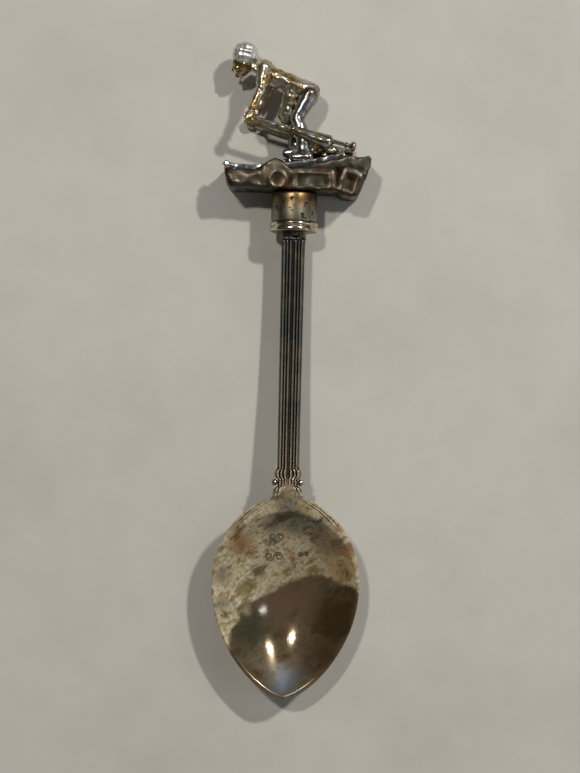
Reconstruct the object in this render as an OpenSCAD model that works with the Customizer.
// Souvenir teaspoon with a soldered finial: a downhill skier on a rocky ledge.
// The spoon lies on its back on the plane z = 0, with its bowl open upwards.
// +Y runs from the bowl's tip to the skier's cap, +X to the right, +Z out of the bowl.
// Lengths are in millimetres.

/* [Bowl] */
// Greatest width of the bowl
bowl_width = 27; // [24:0.5:29]
// Length of the bowl, from its tip to the neck
bowl_length = 37.8; // [35:0.2:40]
// Depth of the hollow below the rim
bowl_depth = 6.2; // [5:0.1:6.4]
// Thickness of the bowl's sheet
sheet = 0.9; // [0.7:0.05:1.1]
// Width of the neck where the bowl meets the stem
neck_width = 5.4; // [5:0.1:5.8]

/* [Stem] */
// Length of the reeded stem, from the neck to the solder below the collar
stem_length = 46; // [42:0.5:50]
// Width of the stem at its top
stem_top_width = 4.3; // [4:0.1:4.6]
// Width of the stem just above its shoulders
stem_foot_width = 4; // [3.7:0.1:4.2]
// Thickness of the stem, from the crest of a reed to the back
stem_thickness = 2; // [1.8:0.1:2.2]
// Diameter of the beads beside the neck
bead_diameter = 1.2; // [1:0.1:1.4]

/* [Collar] */
// Diameter of the drum that hides the joint between the stem and the finial
drum_diameter = 8.4; // [8:0.1:8.8]
// Length of the drum
drum_length = 7; // [6.5:0.1:7.5]
// Diameter of the moulding round the drum's mouth
rim_diameter = 8.9; // [8.9:0.1:9]
// Length of the solder between the stem and the drum
solder_length = 1.4; // [1:0.1:1.6]

/* [Finial] */
// Front-to-back depth of the rocky ledge
ledge_depth = 9; // [9:0.1:10]
// Width of each ski
ski_width = 2.1; // [1.8:0.1:2.3]
// Thickness of each ski
ski_thickness = 0.9; // [0.7:0.05:1]
// Radius of the knitted cap
cap_radius = 2.4; // [2.2:0.05:2.5]

/* [Hidden] */

finial_height = 27.8;   // from the drum's top to the top of the cap
gap = 0.02;             // clearance between parts that slide together before soldering
plate = 0.6;            // thickness of the drum's top and floor
drum_wall = 0.5;
overall = bowl_length + stem_length + solder_length + drum_length + finial_height;

y_tip = -overall / 2;
y_neck = y_tip + bowl_length;
y_stem_top = y_neck + stem_length;
y_mouth = y_stem_top + solder_length;
y_drum_top = y_mouth + drum_length;
z_axis = ledge_depth / 2;

silver = [0.72, 0.70, 0.66];
dark_silver = [0.34, 0.33, 0.31];
warm_silver = [0.70, 0.63, 0.47];
grey_solder = [0.52, 0.48, 0.42];

// ---------- shared shapes ----------

// Skin of a run of rings, closed at both ends. Each ring holds the points of an upper line and
// then as many of a lower line coming back, so the ends close as strips between the two lines.
module skin(rings) {
    n = len(rings[0]);
    last = (len(rings) - 1) * n;
    polyhedron(
        points = [for (ring = rings) for (p = ring) p],
        faces = concat(
            [for (i = [0 : n / 2 - 2]) [i, i + 1, n - 2 - i, n - 1 - i]],
            [for (k = [0 : len(rings) - 2]) for (i = [0 : n - 1])
                [k * n + i, (k + 1) * n + i, k * n + (i + 1) % n]],
            [for (k = [0 : len(rings) - 2]) for (i = [0 : n - 1])
                [(k + 1) * n + i, (k + 1) * n + (i + 1) % n, k * n + (i + 1) % n]],
            [for (i = [0 : n / 2 - 2]) [last + n - 1 - i, last + n - 2 - i, last + i + 1, last + i]]
        )
    );
}

// Round bar from a to b that tapers from radius ra to rb.
module rod(a, b, ra, rb) {
    d = b - a;
    length = norm(d);
    translate(a)
        rotate([0, acos(d.z / length), atan2(d.y, d.x)])
            cylinder(h = length, r1 = ra, r2 = rb, $fn = 32);
}

// Limb from a to b: a tapered bar with a slightly fuller ball at each end.
module limb(a, b, ra, rb) {
    ball = 1.04;
    rod(a, b, ra, rb);
    translate(a) sphere(r = ra * ball, $fn = 32);
    translate(b) sphere(r = rb * ball, $fn = 32);
}

// Moves a finial part from its own frame, at the centre of the drum's top, to its place.
module on_drum() {
    translate([0, y_drum_top, z_axis]) children();
}

function clamp01(v) = min(1, max(0, v));
function ease(v) = let (c = clamp01(v)) c * c * (3 - 2 * c);

// ---------- bowl ----------

// Rise and fall between 0 and 1 with a greatest value of 1, blunt or pointed by its powers.
function hump(s, p, q) =
    let (top = p / (p + q))
    pow(s, p) * pow(1 - s, q) / (pow(top, p) * pow(1 - top, q));

tip_power = 0.69;
heel_power = 0.53;
blunt = 0.4;                           // rounds the bowl's tip, which would otherwise be a point
heel_gap = 0.95;                       // the egg shape ends this far short of the neck
neck_blend = 2.6;                      // how sharply the egg shape turns into the neck
hollow_start = 0.6;                    // width of the lip at the tip
hollow_length = bowl_length - 4.2;     // the hollow stops short of the neck
lip = 0.45;                            // width of the lip beside the hollow
y_hollow = y_tip + hollow_start;
y_deep = y_hollow + hollow_length / 2;
rim_rise_neck = 1.5;
rim_rise_tip = 0.5;

function egg(y) =
    let (s = clamp01((y - y_tip + blunt) / (bowl_length - heel_gap + blunt)))
    bowl_width / 2 * hump(s, tip_power, heel_power);
function half_width(y) =
    let (neck = neck_width / 2 * ease((y - y_tip) / bowl_length * 5 - 3.9))
    pow(pow(egg(y), neck_blend) + pow(neck, neck_blend), 1 / neck_blend);
function rim_z(y) =
    bowl_depth + sheet + (y < y_deep
        ? rim_rise_tip * pow((y_deep - y) / (y_deep - y_tip), 2)
        : rim_rise_neck * pow((y - y_deep) / (y_neck - y_deep), 2));
function hollow_s(y) = clamp01((y - y_hollow) / hollow_length);
function hollow_half(y) = (bowl_width / 2 - lip) * hump(hollow_s(y), tip_power, 0.5);
function hollow_depth(y) = bowl_depth * hump(hollow_s(y), 0.9, 0.9);
function dish(x, y) =
    let (w = hollow_half(y))
    abs(x) < w ? hollow_depth(y) * pow(1 - pow(x / w, 2), 1.1) : 0;
function sheet_at(y) = sheet + (stem_thickness - sheet) * ease((y - y_neck + 5) / 5);
function bowl_top(x, y) = rim_z(y) - dish(x, y);

bowl_rings = 36;
bowl_steps = 20;

// One slice across the bowl: along its upper face, then back along its lower face.
function bowl_ring(y) =
    let (w = half_width(y), xs = [for (i = [0 : bowl_steps]) w * sin(-90 + 180 * i / bowl_steps)])
    concat(
        [for (i = [0 : bowl_steps]) [xs[i], y, bowl_top(xs[i], y)]],
        [for (i = [bowl_steps : -1 : 0]) [xs[i], y, bowl_top(xs[i], y) - sheet_at(y)]]
    );

module bowl() {
    color(silver)
        skin([for (k = [0 : bowl_rings])
            let (s = (1 - cos(180 * k / bowl_rings)) / 2)
            bowl_ring(min(y_tip + bowl_length * s, y_neck - 0.0001))]);
}

// ---------- stem ----------

z_neck = rim_z(y_neck) - stem_thickness / 2;
reed_height = 0.16;
// Half the width of the stem, at distances above the neck.
stem_outline = [
    [0, neck_width / 2], [0.7, 2.35], [1.2, 1.8], [2.2, 1.75], [2.6, 2.45], [3.6, 2.5],
    [4.1, stem_foot_width / 2], [stem_length, stem_top_width / 2]
];
tang = [3.1, 1.4];
tang_length = 3;

function stem_z(y) = z_axis + (z_neck - z_axis) * pow((y_stem_top - y) / stem_length, 2);
function reed(u) = reed_height * (abs(sin(450 * (u + 1))) - 1);

// One slice across the stem: five reeds on its face and a flat back with eased corners.
function stem_ring(y, w) =
    let (t = stem_thickness / 2, z = stem_z(y), n = 20, us = [for (i = [0 : n]) -1 + 2 * i / n])
    concat(
        [for (i = [0 : n]) [w * us[i], y, z + t + reed(us[i])]],
        [for (i = [n : -1 : 0]) [w * us[i], y, z - t * (1 - 0.4 * pow(us[i], 8))]]
    );

module stem() {
    color(dark_silver) {
        skin([
            for (k = [0 : len(stem_outline) - 2]) let (y = stem_outline[k][0] + y_neck)
                stem_ring(y, stem_outline[k][1]),
            for (k = [1 : 14])
                let (
                    foot = stem_outline[len(stem_outline) - 2],
                    top = stem_outline[len(stem_outline) - 1],
                    f = k / 14
                )
                stem_ring(y_neck + foot[0] + (top[0] - foot[0]) * f, foot[1] + (top[1] - foot[1]) * f)
        ]);
        translate([-tang.x / 2, y_stem_top - 1, z_axis - tang.y / 2])
            cube([tang.x, 1 + solder_length + tang_length, tang.y]);
    }
}

module shoulder_beads() {
    y = y_neck + 1.7;
    for (side = [-1, 1])
        color(silver)
            translate([side * (1.78 + bead_diameter / 2), y, stem_z(y) + 0.2])
                sphere(d = bead_diameter, $fn = 32);
}

// ---------- collar ----------

// Turns a part drawn upwards along +Z so that it stands along +Y, from height y.
module along_stem(y) {
    translate([0, y, z_axis]) rotate([-90, 0, 0]) children();
}

module tang_slot(length) {
    translate([-tang.x / 2 - gap, -tang.y / 2 - gap, -1])
        cube([tang.x + 2 * gap, tang.y + 2 * gap, length + 2]);
}

module solder_fillet() {
    half = 1.1;
    reach = stem_top_width / 2 + 0.2 - half;
    color(grey_solder)
        along_stem(y_stem_top)
            difference() {
                union() {
                    translate([-reach, -half, 0]) cube([2 * reach, 2 * half, solder_length]);
                    for (side = [-1, 1])
                        translate([side * reach, 0, 0]) cylinder(h = solder_length, r = half, $fn = 32);
                }
                tang_slot(solder_length);
            }
}

module collar_floor() {
    color(silver)
        along_stem(y_mouth)
            difference() {
                cylinder(h = plate, d = drum_diameter - 2 * drum_wall - 2 * gap, $fn = 64);
                tang_slot(plate);
            }
}

peg_radius = 1.2;

module collar_drum() {
    color(warm_silver)
        along_stem(y_mouth)
            difference() {
                cylinder(h = drum_length, d = drum_diameter, $fn = 64);
                translate([0, 0, -1])
                    cylinder(h = drum_length - plate + 1, d = drum_diameter - 2 * drum_wall, $fn = 64);
                cylinder(h = drum_length + 1, r = peg_radius + gap, $fn = 32);
            }
}

// Moulding of two half-round beads round the drum's mouth.
module collar_rim() {
    bead = 0.9;
    inner = drum_diameter / 2 + gap;
    color(silver)
        along_stem(y_mouth)
            rotate_extrude($fn = 64)
                difference() {
                    union() {
                        translate([inner, 0]) square([(rim_diameter / 2 - inner) * 0.6, 2 * bead]);
                        for (k = [0, 1])
                            translate([rim_diameter / 2 - bead / 2, bead * (k + 0.5)])
                                circle(d = bead, $fn = 32);
                    }
                    square([inner, 2 * bead]);
                }
}

module finial_peg() {
    color(grey_solder)
        on_drum() rod([0, -2.6, 0], [0, 1, 0], peg_radius, peg_radius);
}

// ---------- ledge, skis and poles, in the finial's frame ----------

// Middle line of the skis as they lie down the slope, from the turned-up tip to the tail.
ski_line = [[-12.9, 5.3], [-12.2, 4.7], [-11, 4.4], [-8, 4.3], [-3.5, 4.6], [0.9, 5.1], [4.5, 5.85], [9, 7]];
half_ski = ski_thickness / 2;
ski_middle = 2;         // sideways distance of each ski from the finial's middle plane
far_lift = 1.3;         // the far ski stands this much further up the slope
front = ledge_depth / 2;
relief = 0.4;           // how far the boulders stand out of the ledge's face

// Solid of the given outline between two depths.
module slab(outline, low, high) {
    translate([0, 0, low]) linear_extrude(high - low) polygon(outline);
}

module rock_ledge() {
    under_ski = [for (p = ski_line) [p.x, p.y - half_ski]];
    ledge = concat(
        under_ski,
        [[9.3, 6.6], [10.4, 6.8], [12.2, 6.5], [13.3, 7], [14, 6.6], [14, 5.5], [13, 2.9], [11.6, -0.6],
         [10.5, -0.8], [8.7, -0.6], [7.8, 0], [-6, 0.4], [-11.5, 0.5], [-12.4, 1.3], [-12.9, 2.9]]
    );
    lens_boulder = [[-4.9, 0.4], [-1.5, 0.2], [-1.2, 4.6], [-2.3, 5.6], [-3.4, 6.1], [-4.6, 5.6], [-5.6, 4.8]];
    long_boulder = [[-0.9, 0.2], [7.1, 0.2], [7.2, 3.4], [5.2, 4.2], [2.6, 3.9], [-0.7, 3.8]];
    flat_boulder = [[-12.1, 1.5], [-11.2, 0.8], [-5.9, 0.7], [-5.9, 3.6], [-12.4, 3.3]];
    leaning_boulder = [[8.1, 0], [11, -0.3], [12.9, 4.1], [10, 4.4], [8, 2.8]];
    color(dark_silver)
        on_drum()
            difference() {
                union() {
                    slab(ledge, -front, front - relief);
                    for (boulder = [lens_boulder, long_boulder, flat_boulder, leaning_boulder])
                        slab(boulder, front - relief - 0.9, front);
                }
                rod([0, -1, 0], [0, 1, 0], peg_radius + gap, peg_radius + gap);
                translate([0, far_lift, 0]) ski_slab(-ski_middle, gap);
                ski_slab(ski_middle, gap);
            }
}

// Ski that follows the slope, centred on the given depth and grown by a margin.
module ski_slab(middle, margin, first = 0) {
    line = [for (k = [first : len(ski_line) - 1]) ski_line[k]];
    grown = half_ski + margin;
    outline = concat(
        [for (p = line) [p.x, p.y - grown]],
        [for (k = [len(line) - 1 : -1 : 0]) [line[k].x, line[k].y + grown]]
    );
    slab(outline, middle - ski_width / 2 - margin, middle + ski_width / 2 + margin);
}

module near_ski() {
    color(silver) on_drum() ski_slab(ski_middle, 0);
}

// The far ski's front is bedded in the snow, so it starts further back.
module far_ski() {
    color(silver)
        on_drum()
            translate([0, far_lift, 0])
                intersection() {
                    ski_slab(-ski_middle, 0);
                    translate([-2.2, 0, -front]) cube([20, 20, 2 * front]);
                }
}

// Snow thrown up over the tails of the skis.
module snow_spray() {
    color(warm_silver)
        on_drum()
            difference() {
                slab([[4.6, 6.36], [5.3, 8.6], [6, 9.3], [9, 8.1], [10.4, 7.05], [9.2, 6.9], [9, 7.5]], -2.9, 2.4);
                translate([0, far_lift, 0]) ski_slab(-ski_middle, gap);
                ski_slab(ski_middle, gap);
                for (side = [near_side, far_side]) pole_shape(side, gap);
            }
}

near_side = 1;
far_side = -1;
pole_plane = 3.25;      // depth of each hand and pole from the middle plane
grip = [-8.4, 13.4];
pole_waist = [5.4, 9.3];
pole_end = [10.2, 8.5];

function at(p, z) = [p.x, p.y, z];

module pole_shape(side, margin) {
    z = side * pole_plane;
    rod(at(grip, z) - [1, -0.28, 0], at(pole_waist, z), 0.36 + margin, 1 + margin);
    rod(at(pole_waist, z), at(pole_end, z), 0.3 + margin, 0.3 + margin);
    translate(at(pole_end, z)) sphere(r = 0.9 + margin, $fn = 32);
}

module near_pole() {
    color(silver) on_drum() difference() {
        pole_shape(near_side, 0);
        glove_shape(near_side, gap);
    }
}

module far_pole() {
    color(dark_silver) on_drum() difference() {
        pole_shape(far_side, 0);
        glove_shape(far_side, gap);
    }
}

// ---------- skier, in the finial's frame ----------

shoulders = [-5, 21.4, 0];
hips = [2, 18.4, 0];
hip = [2.2, 18, 1.2];
near_knee = [-0.4, 13.4, 1.6];
near_ankle = [0.9, 7.8, 2];
far_knee = [-2.3, 14.9, -1.6];
far_ankle = [0.2, 9, -2];
cap_middle = [-9.6, finial_height - cap_radius, 0];
face_middle = [-10.2, 23.5, 0];
shoulder = [-6.1, 22.2];
elbow = [-6.4, 18.8];
wrist = [-7.9, 15.1];

function across(p) = [p.x, p.y, -p.z];

// Boot whose flat sole lies on a ski: heel behind the ankle and toe in front of it.
module boot(ankle, sole) {
    translate([ankle.x - 2.6, sole - 0.2, ankle.z - 0.9]) cube([3.6, 1.7, 1.8]);
}

// Turned bar from a to b with domed ends, of one profile, so that its outline has no seams.
module capsule(a, b, ra, rb, steps = 4) {
    d = b - a;
    length = norm(d);
    turn = 90 / steps;
    translate(a)
        rotate([0, acos(d.z / length), atan2(d.y, d.x)])
            rotate_extrude($fn = 48)
                polygon(concat(
                    [for (i = [0 : steps]) ra * [cos(turn * i - 90), sin(turn * i - 90)]],
                    [for (i = [0 : steps]) rb * [cos(turn * i), sin(turn * i)] + [0, length]]
                ));
}

module torso_shape() {
    capsule(shoulders, hips, 2.1, 2.25, 6);
}

module skier_torso() {
    color(silver)
        on_drum()
            difference() {
                union() {
                    torso_shape();
                    rod(shoulders + [0.6, 0.2, 0], face_middle + [0.6, -0.1, 0], 1, 0.8);
                }
                head_shape(gap);
                translate(cap_middle) sphere(r = cap_radius + gap, $fn = 48);
            }
}

module skier_legs() {
    color(silver)
        on_drum()
            difference() {
                union() {
                    capsule(hip, near_knee, 1.7, 1.2);
                    capsule(near_knee, near_ankle, 1.1, 0.8);
                    capsule(across(hip), far_knee, 1.7, 1.2);
                    capsule(far_knee, far_ankle, 1.1, 0.8);
                    boot(near_ankle, 5.6);
                    boot(far_ankle, 6.9);
                }
                torso_shape();
                translate([0, far_lift, 0]) ski_slab(-ski_middle, gap);
                ski_slab(ski_middle, gap);
                for (side = [near_side, far_side]) pole_shape(side, gap);
            }
}

module head_shape(margin) {
    capsule(face_middle + [-0.1, -0.5, 0], face_middle + [0.1, 0.5, 0], 1.7 + margin, 1.8 + margin, 6);
}

module skier_head() {
    color(warm_silver)
        on_drum()
            difference() {
                head_shape(0);
                translate(cap_middle) sphere(r = cap_radius + gap, $fn = 48);
            }
}

module skier_cap() {
    color(silver) on_drum() translate(cap_middle) sphere(r = cap_radius, $fn = 48);
}

module glove_shape(side, margin) {
    translate(at(grip, side * pole_plane)) sphere(r = 1.1 + margin, $fn = 32);
}

// Arm from the shoulder to the glove; shift moves the elbow and shoulder along X.
module arm(side, shift) {
    s = at(shoulder, side * 2.35) + [shift, 0, 0];
    e = at(elbow, side * 2.8) + [shift, 0, 0];
    w = at(wrist, side * 3.1) + [shift / 2, 0, 0];
    difference() {
        union() {
            limb(s, e, 1.35, 1);
            limb(e, w, 0.95, 0.85);
            glove_shape(side, 0);
        }
        torso_shape();
    }
}

module near_arm() {
    color(silver) on_drum() arm(near_side, 0);
}

module far_arm() {
    color(dark_silver) on_drum() arm(far_side, 0.7);
}

bowl();
stem();
shoulder_beads();
solder_fillet();
collar_floor();
collar_drum();
collar_rim();
finial_peg();
rock_ledge();
snow_spray();
near_ski();
far_ski();
skier_torso();
skier_legs();
skier_head();
skier_cap();
near_arm();
far_arm();
near_pole();
far_pole();
